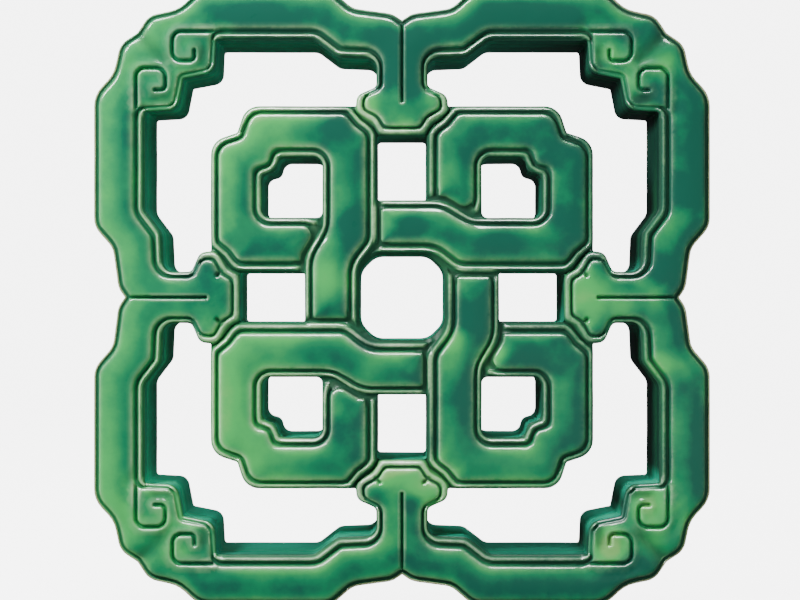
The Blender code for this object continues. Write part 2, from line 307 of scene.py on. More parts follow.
# How thin the glaze lies across each kind of rim, by share
CREST_GLAZE = [
    (0, 0), (0.13, 0.15), (0.21, 0.95), (0.37, 1), (0.44, 0.3), (0.5, 0), (0.88, 0), (0.95, 0.35), (1, 0.5),
]
WIDE_CREST_GLAZE = [
    (0, 0), (0.16, 0.05), (0.25, 0.5), (0.32, 1), (0.43, 1), (0.49, 0.4), (0.55, 0), (0.88, 0), (0.95, 0.4),
    (1, 0.6),
]
SCROLL_CREST_GLAZE = [(0, 0.1), (0.3, 0.15), (0.5, 0.05), (0.8, 0.1), (0.92, 0.6), (1, 0.85)]
OUTER_CREST_GLAZE = [(0, 1.0), (0.2, 1.0), (0.3, 0.5), (0.38, 0.0), (0.8, 0.0), (0.9, 0.2), (1, 0.35)]
HEAD_CREST_GLAZE = [
    (0, 0.2), (0.1, 0.5), (0.2, 0.9), (0.32, 1), (0.48, 0.95), (0.58, 0.4), (0.64, 0), (0.9, 0.1), (1, 0.8),
]

# How deep it pools there
GROOVE_GLAZE = [
    (0, 1), (0.08, 0.8), (0.14, 0.3), (0.19, 0), (0.43, 0), (0.52, 0.6), (0.62, 1), (0.76, 1), (0.87, 0.5),
    (0.95, 0), (1, 0),
]
WIDE_GROOVE_GLAZE = [
    (0, 1), (0.14, 0.85), (0.22, 0.35), (0.28, 0), (0.45, 0), (0.54, 0.5), (0.62, 0.9), (0.76, 0.9),
    (0.85, 0.4), (0.93, 0), (1, 0),
]
SCROLL_GROOVE_GLAZE = [
    (0, 0.6), (0.12, 0.3), (0.25, 0), (0.4, 0.1), (0.6, 0.4), (0.8, 0.3), (0.95, 0), (1, 0),
]
OUTER_GROOVE_GLAZE = [
    (0, 0), (0.26, 0.05), (0.38, 0.8), (0.45, 1), (0.66, 1), (0.76, 0.7), (0.86, 0.2), (0.94, 0), (1, 0),
]
HEAD_GROOVE_GLAZE = [
    (0, 0.5), (0.08, 0.1), (0.15, 0), (0.56, 0), (0.66, 0.9), (0.82, 1), (0.9, 0.4), (0.96, 0), (1, 0),
]
# Under a crossing strand and on the web below the strands: pooled glaze and painted shade
UNDER_POOL_AND_SHADE = [(0, 0.7), (0.2, 1), (0.5, 1), (0.8, 0.95), (1, 0.8)]
WEB_POOL_AND_SHADE = 0.9
VALLEY_POOL = 0.7

# How thin it lies on a body's lip, inward from the shoulder and away from a scroll or a slit, and how much
# less beside a narrow rim
LIP_GLAZE = [(0, 0.65), (0.04, 0.45), (0.08, 0.22), (0.14, 0.08), (0.2, 0.0), (1, 0.0)]
SCROLL_LIP_GLAZE = [(0, 0.0), (0.19, 0.0), (0.28, 0.9), (0.4, 0.65), (0.58, 0.2), (0.8, 0.0), (1, 0.0)]
SLIT_LIP_GLAZE = [(0, 0.0), (0.14, 0.0), (0.22, 0.4), (0.34, 0.25), (0.5, 0.0), (1, 0.0)]
BESIDE_NARROW = (3.2, 3.6)
NARROW_LOSS = 0.55

# The section of a wall, from the face to the back: depth below the edge, how far it stands out
WALL_SECTION = [
    (0.8, 0.0), (2.0, -0.12), (4.0, -0.2), (8.0, -0.05), (14.0, 0.1), (22.0, 0.1), (32.0, 0.05),
    (42.0, 0.0), (46.2, -0.1), (46.9, -0.4),
]


# Outlines


def turned(corners, quarters):
    """The corners after this many quarter turns, clockwise."""
    for _ in range(quarters):
        corners = [(y, -x, *rest) for x, y, *rest in corners]
    return corners


def mirrored(corners):
    """The corners on the other side of the diagonal, in the opposite order."""
    return [(y, x, *rest) for x, y, *rest in reversed(corners)]


def ring_of(octant):
    """A whole ring, clockwise, from its corners between a side's middle and the diagonal."""
    rims = [rim for *_, rim in octant]
    forward = octant[:-1] + [(*octant[-1][:3], rims[-2])]
    back = [(*corner[:3], rim) for corner, rim in zip(mirrored(octant[1:-1]), rims[-3::-1])]
    quarter = forward + back
    return [corner for k in range(4) for corner in turned(quarter, k)]


def seen_from_inside(ring):
    """The same ring anticlockwise, each rim still on its own stretch."""
    rims = [rim for *_, rim in ring]
    return [(*corner[:3], rims[len(ring) - 2 - i]) for i, corner in enumerate(ring[::-1])]


def fillet(before, corner, after, radius):
    """Points of the arc that rounds a corner, or the corner alone."""
    sides = []
    for end in (before, after):
        dx, dy = end[0] - corner[0], end[1] - corner[1]
        length = math.hypot(dx, dy)
        sides.append((dx / length, dy / length, length))
    (ax, ay, a_length), (bx, by, b_length) = sides
    inner = math.acos(max(-1.0, min(1.0, ax * bx + ay * by)))
    turn = math.pi - inner
    if radius < LEAST_FILLET or turn < LEAST_TURN:
        return [corner[:2]]
    reach = min(radius / math.tan(inner / 2), 0.48 * min(a_length, b_length))
    radius = reach * math.tan(inner / 2)
    away = radius / math.sin(inner / 2) / math.hypot(ax + bx, ay + by)
    centre = (corner[0] + (ax + bx) * away, corner[1] + (ay + by) * away)
    start = math.atan2(corner[1] + ay * reach - centre[1], corner[0] + ax * reach - centre[0])
    side = 1 if ax * by - ay * bx < 0 else -1
    steps = max(1, math.ceil(turn / ARC_STEP))
    angles = [start + side * turn * k / steps for k in range(steps + 1)]
    return [(centre[0] + radius * math.cos(a), centre[1] + radius * math.sin(a)) for a in angles]


def rounded(corners, closed=True):
    """The outline through the corners, each with its own fillet."""
    points = []
    for i, corner in enumerate(corners):
        if not closed and i in (0, len(corners) - 1):
            points.append(corner[:2])
            continue
        after = corners[(i + 1) % len(corners)]
        points += fillet(corners[i - 1], corner, after, corner[2])
    return points


def crossing(first, second):
    """Where two straight lines meet, each one a point, a direction and a width. Lines that run on from
    each other meet halfway between them."""
    (px, py), (ax, ay), a_width = first[:3]
    (qx, qy), (bx, by), b_width = second[:3]
    cross = ax * by - ay * bx
    if abs(cross) < NEARLY_STRAIGHT:
        half = (a_width - b_width) / 2
        return qx + by * half, qy - bx * half
    along = ((qx - px) * by - (qy - py) * bx) / cross
    return px + ax * along, py + ay * along


def inset(corners, share, more=0.0):
    """A clockwise ring moved into its material, on each stretch by a share of its rim and a width more.
    A stretch too short to be left is dropped."""
    stretches = []
    for i, (x, y, radius, rim) in enumerate(corners):
        x1, y1 = corners[(i + 1) % len(corners)][:2]
        length = math.hypot(x1 - x, y1 - y)
        dx, dy = (x1 - x) / length, (y1 - y) / length
        width = rim * share + more
        stretches.append(((x + dy * width, y - dx * width), (dx, dy), width, radius, rim))
    dropped = True
    while dropped:
        around = list(zip(stretches[-1:] + stretches[:-1], stretches))
        starts = [crossing(before, stretch) for before, stretch in around]
        ends = starts[1:] + starts[:1]
        dropped = [
            i
            for i, (_, (dx, dy), *_) in enumerate(stretches)
            if (ends[i][0] - starts[i][0]) * dx + (ends[i][1] - starts[i][1]) * dy < 0
        ]
        for i in dropped[:1]:
            del stretches[i]
    moved = []
    for (before, stretch), (x, y) in zip(around, starts):
        (ax, ay), (bx, by) = before[1], stretch[1]
        width = (before[2] + stretch[2]) / 2
        outward = stretch[3] - width if ax * by < ay * bx else stretch[3] + width
        inward = 0.0 if RIM_END in (before[4], stretch[4]) else ROUNDING_INWARD * width
        inward = width if before[4] == stretch[4] == RIM_SCROLL else inward
        moved.append((x, y, max(outward, LEAST_ROW_FILLET + inward)))
    return moved


def round_a_cut(points, reach):
    """The outline of a cut along an open path: down one side, round the end and back on the other."""
    left, right = [], []
    for i, (x, y) in enumerate(points):
        x0, y0 = points[max(i - 1, 0)]
        x1, y1 = points[min(i + 1, len(points) - 1)]
        length = math.hypot(x1 - x0, y1 - y0)
        dx, dy = (x1 - x0) / length * reach, (y1 - y0) / length * reach
        left.append((x - dy, y + dx))
        right.append((x + dy, y - dx))
    middle = math.atan2(dy, dx)
    fan = [middle + math.radians(angle) for angle in (60, 30, 0, -30, -60)]
    x, y = points[-1]
    tip = [(x + reach * math.cos(angle), y + reach * math.sin(angle)) for angle in fan]
    return left + tip + right[::-1]


def corner_opening():
    """The opening between the frame's corner and the knot's loop, upper right."""
    half = [corner[:3] for corner in reversed(FRAME_INSIDE[LOBE_OF_HEAD:])] + [CREVICE] + LOOP_CORNER
    return half + mirrored(half[1:-1])


def openings():
    """The outline of each of the thirteen openings."""
    octagon = [(MIDDLE_CUT, MIDDLE, 9.0), (MIDDLE, MIDDLE_CUT, 9.0)]
    found = [[corner for k in range(4) for corner in turned(octagon, k)]]
    for k in range(4):
        found += [turned(shape, k) for shape in (corner_opening(), HOLE_IN_LOOP, HOLE_IN_SIDE)]
    return [rounded(corners) for corners in found]


def rings():
    """The closed rings that carry a rim: the frame's two and the knot's four ribbons."""
    frame_rings = [ring_of(FRAME_OUTSIDE), seen_from_inside(ring_of(FRAME_INSIDE))]
    return frame_rings + [turned(RIBBON, k) for k in range(4)]


def paths(shape, flips=(1, -1)):
    """An open path and its mirror image, on all four sides, rounded."""
    found = []
    for k in range(4):
        for flip in flips:
            found.append(rounded(turned([(flip * x, y, r) for x, y, r in shape], k), closed=False))
    return found


def faces(start, end):
    """Which of the four ways a stretch of a clockwise line looks."""
    out = (start[1] - end[1], end[0] - start[0])
    return max(FACINGS, key=lambda name: out[0] * FACINGS[name][0] + out[1] * FACINGS[name][1])


def under_zones():
    """The areas where a strand goes under another one, a little wider than the rim at its end."""
    zones = []
    for k in range(4):
        ring = turned(RIBBON, k)
        for end in ENDS_OF_RIBBON:
            corners = (ring + ring)[end]
            far = []
            for i, corner in enumerate(corners):
                x0, y0 = corners[max(i - 1, 0)][:2]
                x1, y1 = corners[min(i + 1, len(corners) - 1)][:2]
                length = math.hypot(x1 - x0, y1 - y0)
                dx, dy = (x1 - x0) / length * END_ZONE, (y1 - y0) / length * END_ZONE
                far.append((corner[0] + dy, corner[1] - dx))
            zones.append([corner[:2] for corner in corners] + far[::-1])
    return zones


def dense(points, closed=True):
    """The same line with points at least every so far."""
    ends = points[1:] + points[:1] if closed else points[1:]
    finer = []
    for (x0, y0), (x1, y1) in zip(points, ends):
        steps = max(1, round(math.hypot(x1 - x0, y1 - y0) / ALONG))
        finer += [(x0 + (x1 - x0) * j / steps, y0 + (y1 - y0) * j / steps) for j in range(steps)]
    return finer if closed else finer + points[-1:]


def inside(points, outline):
    """Whether each point lies within a closed outline."""
    x, y = points[:, :1], points[:, 1:]
    start = np.array(outline)
    end = np.roll(start, -1, axis=0)
    spans = (start[:, 1] > y) != (end[:, 1] > y)
    rise = np.where(end[:, 1] == start[:, 1], 1.0, end[:, 1] - start[:, 1])
    meets = start[:, 0] + (y - start[:, 1]) / rise * (end[:, 0] - start[:, 0])
    return (spans & (x < meets)).sum(axis=1) % 2 == 1


# The plan


class Plan:
    """The tile's face in plan: its lines, and the triangles between them."""

    def __init__(self):
        self.edges = [rounded(ring_of(FRAME_OUTSIDE))] + openings()
        self.rims = [rounded([corner[:3] for corner in ring]) for ring in rings()]
        self.shoulders = [rounded(inset(ring, 1.0)) for ring in rings()]
        stretches = [pair for line in self.shoulders for pair in zip(line, line[1:] + line[:1])]
        ribbons = [turned(RIBBON, k) * 2 for k in range(4)]
        ends = [ribbon[end] for ribbon in ribbons for end in ENDS_OF_RIBBON]
        self.drawn = {
            "Edges": self.rims,
            **{name: [pair for pair in stretches if faces(*pair) == name] for name in FACINGS},
            "Ends": [rounded([corner[:3] for corner in end], closed=False) for end in ends],
            "Scrolls": paths(SCROLL),
            "Slits": paths(SLIT, (1,)),
            "Nicks": paths(HEAD_NICK)[2:] + paths(LOOP_NICK, (1,)),
            "Clefts": paths(CLEFT),
            "Valleys": paths(VALLEY, (1,)) + paths(HOLLOW),
        }
        self.cuts = [line for name in ("Scrolls", "Slits", "Nicks") for line in self.drawn[name]]

    def rows(self):
        """Every closed line that the triangles keep as edges."""
        closed = [dense(line) for line in self.edges]
        for ring in rings():
            closed += [dense(rounded(inset(ring, share))) for share in RIM_ROWS]
            closed += [dense(rounded(inset(ring, 1.0, more))) for more in BODY_ROWS]
        for cut in self.cuts:
            closed += [dense(round_a_cut(cut, reach)) for reach in CUT_ROWS]
        return closed

    def in_material(self, points):
        kept = inside(points, self.edges[0])
        for opening in self.edges[1:]:
            kept &= ~inside(points, opening)
        return kept

    def filling(self, taken):
        """A staggered grid between the lines, clear of them."""
        tree = KDTree(len(taken))
        for i, (x, y) in enumerate(taken):
            tree.insert((x, y, 0.0), i)
        tree.balance()
        across = np.arange(-HALF, HALF, GRID)
        grid = [(x + GRID / 2 * (j % 2), y) for j, y in enumerate(across) for x in across]
        grid = np.array(grid)[self.in_material(np.array(grid))]
        return [(x, y) for x, y in grid if tree.find((x, y, 0.0))[2] > GRID_CLEAR]

    def triangulate(self):
        """The points and triangles of the material."""
        points, edges = [], []
        for line in self.rows():
            first, count = len(points), len(line)
            points += line
            edges += [(first + i, first + (i + 1) % count) for i in range(count)]
        for line in self.cuts + self.drawn["Clefts"]:
            line = dense(line, closed=False)
            first = len(points)
            points += line
            edges += [(first + i, first + i + 1) for i in range(len(line) - 1)]
        points += self.filling(points)
        flat, _, faces, *_ = delaunay_2d_cdt([Vector(point) for point in points], edges, [], 0, WELD)
        flat = np.array([tuple(point) for point in flat])
        faces = np.array(faces)
        return flat, faces[self.in_material(flat[faces].mean(axis=1))]

    def places(self, points):
        """What each point belongs to, and whether it lies on the outer rim or on a head's rim."""
        ring_parts = [inside(points, self.rims[0]) & ~inside(points, self.rims[1])]
        ring_parts += [inside(points, rim) for rim in self.rims[2:]]
        body_parts = [inside(points, self.shoulders[0]) & ~inside(points, self.shoulders[1])]
        body_parts += [inside(points, shoulder) for shoulder in self.shoulders[2:]]
        place = np.where(np.any(ring_parts, axis=0), ON_RIM, ON_WEB)
        for i, zone in enumerate(under_zones()):
            place[inside(points, zone) & ring_parts[1 + i // 2]] = ON_END
        place[np.any(body_parts, axis=0)] = ON_BODY
        outer = ~inside(points, self.shoulders[0])
        near, far = np.sort(np.abs(points), axis=1).T
        head = ring_parts[0] & (near < HEAD_WIDTH) & (far > HEAD_FOOT - 1) & (far < HEAD_TOP)
        return place, outer, head


def outward(vert):
    """Which way is out of the material, in plan, at a point of its boundary."""
    out = Vector((0.0, 0.0, 0.0))
    for edge in vert.link_edges:
        if edge.is_boundary:
            along = (edge.verts[1].co - edge.verts[0].co).normalized()
            across = Vector((along.y, -along.x, 0.0))
            towards = edge.link_faces[0].calc_center_median() - edge.verts[0].co
            out += across if across.dot(towards) < 0 else -across
    return out.normalized()


def blank_tile(plan):
    """The plan as a mesh with walls and a back, in metres. Its face is still flat."""
    points, faces = plan.triangulate()
    mesh = bpy.data.meshes.new("tile")
    corners = [(x * MM, y * MM, THICK * MM) for x, y in points]
    mesh.from_pydata(corners, [], faces.tolist())
    work = bmesh.new()
    work.from_mesh(mesh)
    names = ("place", "outer", "head", "depth")
    place, outer, head, depth = (work.verts.layers.float.new(name) for name in names)
    for vert, value, on_outside, on_head in zip(work.verts, *plan.places(points)):
        vert[place] = value
        vert[outer] = on_outside
        vert[head] = on_head
    loose = [vert for vert in work.verts if not vert.link_faces]
    bmesh.ops.delete(work, geom=loose, context="VERTS")
    rim = [edge for edge in work.edges if edge.is_boundary]
    starts = {vert: (vert.co.copy(), outward(vert)) for edge in rim for vert in edge.verts}
    edge_height = RIM_SECTION[0][1]
    lowest = WALL_SECTION[-1][0]
    for below, out in WALL_SECTION + [(edge_height, WALL_SECTION[-1][1] - 0.5)]:
        made = bmesh.ops.extrude_edge_only(work, edges=rim)["geom"]
        rim = [item for item in made if isinstance(item, bmesh.types.BMEdge) and item.is_boundary]
        moved = {}
        for vert in (item for item in made if isinstance(item, bmesh.types.BMVert)):
            near = next(e.other_vert(vert) for e in vert.link_edges if e.other_vert(vert) in starts)
            moved[vert] = starts[near]
        starts = moved
        for vert, (start, away) in starts.items():
            vert.co = start + away * out * MM
            vert.co.z = (edge_height - below) * MM
            vert[place] = ON_RIM
            vert[depth] = min(below, lowest)
    bmesh.ops.triangle_fill(work, use_beauty=True, edges=rim)
    bmesh.ops.recalc_face_normals(work, faces=work.faces)
    work.to_mesh(mesh)
    work.free()
    return mesh


def in_scene(name, data):
    obj = bpy.data.objects.new(name, data)
    bpy.context.scene.collection.objects.link(obj)
    return obj


def line_object(name, lines, closed):
    """A mesh of bare edges along the lines, for measuring distances to."""
    points, edges = [], []
    for line in lines:
        first, count = len(points), len(line)
        points += [(x * MM, y * MM, 0.0) for x, y in line]
        edges += [(first + i, first + i + 1) for i in range(count - 1)]
        if closed:
            edges.append((first + count - 1, first))
    mesh = bpy.data.meshes.new(name)
    mesh.from_pydata(points, edges, [])
    return in_scene(name, mesh)


# Node trees


class Value:
    """A value on its way through a node tree. Arithmetic on it adds Math nodes."""

    def __init__(self, nodes, socket):
        self.nodes = nodes
        self.socket = socket

    def math(self, operation, *others, clamp=False):
        settings = {"operation": operation, "use_clamp": clamp}
        return self.nodes.node("ShaderNodeMath", settings, (self, *others))

    def __add__(self, other):
        return self.math("ADD", other)

    def __sub__(self, other):
        return self.math("SUBTRACT", other)

    def __mul__(self, other):
        return self.math("MULTIPLY", other)

    def __truediv__(self, other):
        return self.math("DIVIDE", other)

    def __rsub__(self, other):
        return self.nodes.node("ShaderNodeMath", {"operation": "SUBTRACT"}, (other, self))

    __radd__ = __add__
    __rmul__ = __mul__

    def clamped(self):
        return self.math("ADD", 0.0, clamp=True)

    def over(self, low, high):
        """0 at the low value, 1 at the high one, smooth between."""
        settings = {"interpolation_type": "SMOOTHSTEP"}
        return self.nodes.node("ShaderNodeMapRange", settings, (self, low, high, 0.0, 1.0))

    def over_mm(self, low, high):
        """The same between two lengths in millimetres."""
        return self.over(low * MM, high * MM)

    def other(self, name):
        """Another output of the same node."""
        return Value(self.nodes, self.socket.node.outputs[name])


class Nodes:
    """Makes the nodes of one tree."""

    def __init__(self, tree):
        self.tree = tree

    def node(self, kind, settings=None, inputs=(), output=0):
        made = self.tree.nodes.new(kind)
        for name, value in (settings or {}).items():
            if name == "points":
                self.draw_curve(made.mapping, value)
            else:
                setattr(made, name, value)
        pairs = inputs.items() if isinstance(inputs, dict) else enumerate(inputs)
        for key, value in pairs:
            if isinstance(value, Value):
                self.tree.links.new(value.socket, made.inputs[key])
            elif value is not None:
                made.inputs[key].default_value = value
        return Value(self, made.outputs[output]) if made.outputs else made

    def draw_curve(self, mapping, points):
        curve = mapping.curves[0]
        while len(curve.points) < len(points):
            curve.points.new(0.5, 0.5)
        for point, place in zip(curve.points, points):
            point.location = place
        mapping.update()

    def vector(self, operation, *inputs, output=0):
        return self.node("ShaderNodeVectorMath", {"operation": operation}, inputs, output)

    def curve(self, value, points):
        return self.node("ShaderNodeFloatCurve", {"points": points}, (1.0, value.clamped()))

    def height(self, value, section):
        """The height in metres that a section gives at this share."""
        share = self.curve(value, [(at, (height - BASE) / RELIEF) for at, height in section])
        return (share * RELIEF + BASE) * MM

    def mixed(self, factor, first, second):
        """Between two numbers."""
        settings = {"data_type": "FLOAT"}
        return self.node("ShaderNodeMix", settings, {0: factor, 2: first, 3: second})

    def blended(self, factor, first, second):
        """Between two colours."""
        settings = {"data_type": "RGBA"}
        return self.node("ShaderNodeMix", settings, {0: factor, 6: first, 7: second}, output=2)

    def noise(self, where, scale, detail, roughness, seed):
        settings = {"noise_dimensions": "4D"}
        inputs = {"Vector": where, "W": seed, "Scale": scale, "Detail": detail, "Roughness": roughness}
        return self.node("ShaderNodeTexNoise", settings, inputs)

    def attribute(self, name):
        if self.tree.bl_idname == "GeometryNodeTree":
            return self.node("GeometryNodeInputNamedAttribute", {"data_type": "FLOAT"}, {"Name": name})
        return self.node("ShaderNodeAttribute", {"attribute_name": name}, output="Fac")


def relief_tree(material, names):
    """Raises the flat face of a blank tile into its relief by the lines of these names, and notes on each
    point how thin the glaze runs there and how deep it lies, with painted shade under crossing strands."""
    tree = bpy.data.node_groups.new("glazed_relief", "GeometryNodeTree")
    tree.interface.new_socket("Geometry", in_out="OUTPUT", socket_type="NodeSocketGeometry")
    tree.interface.new_socket("Geometry", in_out="INPUT", socket_type="NodeSocketGeometry")
    for name in names:
        tree.interface.new_socket(name, in_out="INPUT", socket_type="NodeSocketObject")
    for name, value in (("Waver", 0.22 * MM), ("Unevenness", 0.14 * MM), ("Seed", 3.0)):
        socket = tree.interface.new_socket(name, in_out="INPUT", socket_type="NodeSocketFloat")
        socket.default_value = value
    nodes = Nodes(tree)
    given = nodes.node("NodeGroupInput")
    position = nodes.node("GeometryNodeInputPosition")
    x, y, z = (nodes.node("ShaderNodeSeparateXYZ", {}, (position,), output=i) for i in range(3))
    flat = nodes.node("ShaderNodeCombineXYZ", {}, (x, y, 0.0))

    def away_from(name):
        lines = nodes.node("GeometryNodeObjectInfo", {}, {"Object": given.other(name)}, output="Geometry")
        inputs = {"Geometry": lines, "Sample Position": flat}
        kind = {"target_element": "EDGES"}
        return nodes.node("GeometryNodeProximity", kind, inputs, output="Distance")

    to_edge = away_from("Edges")
    to_left, to_right, to_top, to_bottom = (away_from(name) for name in FACINGS)
    to_end = away_from("Ends")
    to_upper = to_left.math("MINIMUM", to_top)
    to_lower = to_right.math("MINIMUM", to_bottom)
    to_shoulder = to_upper.math("MINIMUM", to_lower)
    width = to_edge + to_shoulder
    share = to_edge / width
    place = nodes.attribute("place")
    depth = nodes.attribute("depth")
    is_body = place.math("GREATER_THAN", (ON_END + ON_BODY) / 2)
    is_outer = nodes.attribute("outer")
    is_head = nodes.attribute("head")
    is_end = place.math("COMPARE", ON_END, 0.4)
    near_end = 1 - to_end.over_mm(*UNDER_REACH)
    along_end = 1 - (to_end - to_edge).over_mm(*UNDER_BESIDE)
    is_under = is_end * near_end.math("MAXIMUM", along_end)
    is_web = place.math("LESS_THAN", (ON_WEB + ON_RIM) / 2)
    is_face = depth.math("LESS_THAN", 0.1)

    # Each kind of rim: its section, and the glaze on its crest and in its groove
    kinds = [
        (width.over_mm(*WIDE_RIM), WIDE_SECTION, WIDE_CREST_GLAZE, WIDE_GROOVE_GLAZE),
        (1 - width.over_mm(*SCROLL_RIM), SCROLL_RIM_SECTION, SCROLL_CREST_GLAZE, SCROLL_GROOVE_GLAZE),
        (is_outer, OUTER_SECTION, OUTER_CREST_GLAZE, OUTER_GROOVE_GLAZE),
        (is_head, HEAD_SECTION, HEAD_CREST_GLAZE, HEAD_GROOVE_GLAZE),
    ]
    rim = nodes.height(share, RIM_SECTION)
    crest = nodes.curve(share, CREST_GLAZE)
    groove = nodes.curve(share, GROOVE_GLAZE)
    for is_kind, section, crest_glaze, groove_glaze in kinds:
        rim = nodes.mixed(is_kind, rim, nodes.height(share, section))
        crest = nodes.mixed(is_kind, crest, nodes.curve(share, crest_glaze))
        groove = nodes.mixed(is_kind, groove, nodes.curve(share, groove_glaze))
    rim = nodes.mixed(is_under, rim, nodes.height(share, UNDER_SECTION))
    into_body = to_shoulder / (BODY_REACH * MM)
    dip = (1 - to_end.over_mm(0.0, DIP_REACH)) * DIP * MM * is_body
    to_scroll = away_from("Scrolls")
    dish = nodes.curve(to_scroll / (DISH_REACH * MM), DISH_SECTION) * DISH * MM
    valley = nodes.curve(away_from("Valleys") / (VALLEY_REACH * MM), VALLEY_SECTION)
    lowered = dip + dish + valley * VALLEY_DEPTH * MM
    body = nodes.height(into_body, BODY_SECTION)
    web = nodes.mixed(to_edge.over_mm(0.0, WEB_BLEND), RIM_SECTION[0][1] * MM, WEB * MM)
    rim = rim - lowered * share * share
    height = nodes.mixed(is_web, nodes.mixed(is_body, rim, body - lowered), web)

    cuts = []
    for name, floor, stretch, pooled in CUTS:
        cut = nodes.curve(away_from(name) / (CUT_REACH * stretch * MM), CUT_SECTION)
        lower = height.math("MINIMUM", floor * MM)
        height = nodes.mixed(cut, height, lower)
        cuts.append((cut, pooled))
    seed = given.other("Seed")
    lumps = nodes.noise(flat, LUMP_SCALE, 2.0, 0.5, seed) - 0.5
    grain = nodes.noise(flat, GRAIN_SCALE, 2.0, 0.5, seed + 1.0) - 0.5
    height = height + (lumps + grain * GRAIN_SHARE) * given.other("Unevenness") * 2.0
    height = height.math("MINIMUM", THICK * MM)
    z = nodes.mixed(is_face, z, height)
    drift = nodes.noise(position, WAVER_SCALE, 2.0, 0.5, seed + 2.0).other("Color")
    drift = nodes.vector("SUBTRACT", drift, (0.5, 0.5, 0.5))
    drift = nodes.vector("SCALE", drift, None, None, given.other("Waver") * 2.0)
    sideways = nodes.vector("MULTIPLY", drift, (1.0, 1.0, 0.0))
    raised = nodes.node("ShaderNodeCombineXYZ", {}, (x, y, z))
    moved = nodes.vector("ADD", raised, sideways)
    moved = nodes.vector("MINIMUM", moved, (HALF * MM, HALF * MM, THICK * MM))
    moved = nodes.vector("MAXIMUM", moved, (-HALF * MM, -HALF * MM, 0.0))
    shape = nodes.node("GeometryNodeSetPosition", {}, {"Geometry": given, "Position": moved})

    # Thin glaze on the crest of a bead and on the lip of a body, deep glaze in grooves and cuts, and deep
    # glaze with painted shade under a crossing strand and on the web
    lip = nodes.curve(into_body, LIP_GLAZE)
    lip = lip.math("MAXIMUM", nodes.curve(to_scroll / (CUT_REACH * MM), SCROLL_LIP_GLAZE))
    lip = lip.math("MAXIMUM", nodes.curve(away_from("Slits") / (CUT_REACH * MM), SLIT_LIP_GLAZE))
    beside_narrow = 1 - (to_edge - to_shoulder).over_mm(*BESIDE_NARROW)
    thin = nodes.mixed(is_body, crest, lip * (1 - beside_narrow * NARROW_LOSS))
    thin = nodes.mixed(is_web, nodes.mixed(is_under, thin, thin * share), 0.0)
    deep = nodes.mixed(is_under, groove, nodes.curve(share, UNDER_POOL_AND_SHADE))
    deep = nodes.mixed(is_web, nodes.mixed(is_body, deep, 0.0), WEB_POOL_AND_SHADE)
    deep = deep.math("MAXIMUM", valley * is_body * VALLEY_POOL)
    for cut, pooled in cuts:
        deep = deep.math("MAXIMUM", cut * pooled)
        thin = thin * (1 - cut)
    across = to_upper / (to_upper + to_lower)
    lies = to_left.math("MINIMUM", to_right) - to_top.math("MINIMUM", to_bottom)
    stored = {
        "thin": thin * is_face,
        "deep": deep * is_face,
        "body": is_body * is_face,
        "across": across,
        "level": lies.over_mm(-LEVEL_BLEND, LEVEL_BLEND),
    }
    for name, value in stored.items():
        inputs = {"Geometry": shape, "Name": name, "Value": value}
        shape = nodes.node("GeometryNodeStoreNamedAttribute", {"data_type": "FLOAT"}, inputs)
    shape = nodes.node("GeometryNodeSetShadeSmooth", {}, {0: shape, "Shade Smooth": True})
    shape = nodes.node("GeometryNodeRealizeInstances", {}, {0: shape})
    shape = nodes.node("GeometryNodeSetMaterial", {}, {"Geometry": shape, "Material": material})
    nodes.node("NodeGroupOutput", {}, (shape,))
    return tree


def standing():
    """Turns the lying tile up on its edge, face to the front, inside the frame's box."""
    low, high = cad_box
    middle = ((low[0] + high[0]) / 2, high[1], (low[2] + high[2]) / 2)
    return Matrix.Translation(middle) @ Matrix.Rotation(math.pi / 2, 4, "X")


def glazed_tile(material):
    plan = Plan()
    lines = {name: line_object(name, found, name == "Edges") for name, found in plan.drawn.items()}
    blank = in_scene("blank_tile", blank_tile(plan))
    modifier = blank.modifiers.new("relief", "NODES")
    modifier.node_group = relief_tree(material, lines)
    sockets = {item.name: item.identifier for item in modifier.node_group.interface.items_tree}
    for name, obj in lines.items():
        modifier[sockets[name]] = obj
    graph = bpy.context.evaluated_depsgraph_get()
    mesh = bpy.data.meshes.new_from_object(blank.evaluated_get(graph))
    for helper in [blank, *lines.values()]:
        bpy.data.objects.remove(helper)
    mesh.transform(standing())
    mesh.set_sharp_from_angle(angle=SHARP_EDGE)
    return in_scene("glazed_tile", mesh)


# Glaze

# The glaze's own colours, from thick to thin
TEAL = (0.010, 0.125, 0.080, 1.0)
GREEN = (0.018, 0.275, 0.108, 1.0)
LEAF = (0.065, 0.56, 0.125, 1.0)
SAND = (0.30, 0.66, 0.17, 1.0)

# Worn thin on a bead, with a painted highlight on one that looks up, thin on the outer edge, and pooled in
# a groove
CREAM = (0.50, 0.84, 0.41, 1.0)
HIGHLIGHT_CREAM = (0.82, 1.0, 0.70, 1.0)
BUFF = (0.62, 0.50, 0.28, 1.0)
POOL = (0.022, 0.072, 0.042, 1.0)

# The walls, from the lit ones to those in shade, and the bare back
BRIGHT_WALL = (0.030, 0.60, 0.37, 1.0)
WALL = (0.022, 0.31, 0.20, 1.0)
DARK_WALL = (0.008, 0.036, 0.023, 1.0)
CLAY = (0.52, 0.36, 0.21, 1.0)
PALE_CLAY = (0.72, 0.57, 0.40, 1.0)

# Noises: scale, detail, roughness and seed
CLOUDS = (17.0, 3.0, 0.55, 4.0)
MOTTLE = (55.0, 4.0, 0.6, 9.0)
STREAKS = (150.0, 3.0, 0.6, 5.0)
WEAR = (120.0, 3.0, 0.6, 2.0)
FRAY = (480.0, 2.0, 0.6, 8.0)
SKIN = (900.0, 3.0, 0.6, 1.0)
RIPPLES = (190.0, 2.0, 0.5, 6.0)
PIT_SCALE = 260.0

# How thin the glaze lies on a rim and more everywhere, how much each noise changes it, and how much darker
# the right side is, partly thicker glaze and partly painted shade
RIM_THINNESS = 0.42
THINNESS = 0.06
BY_CLOUDS, BY_MOTTLE, BY_STREAKS, RIGHT_GLAZE_AND_SHADE = 1.2, 0.9, 0.4, 0.42

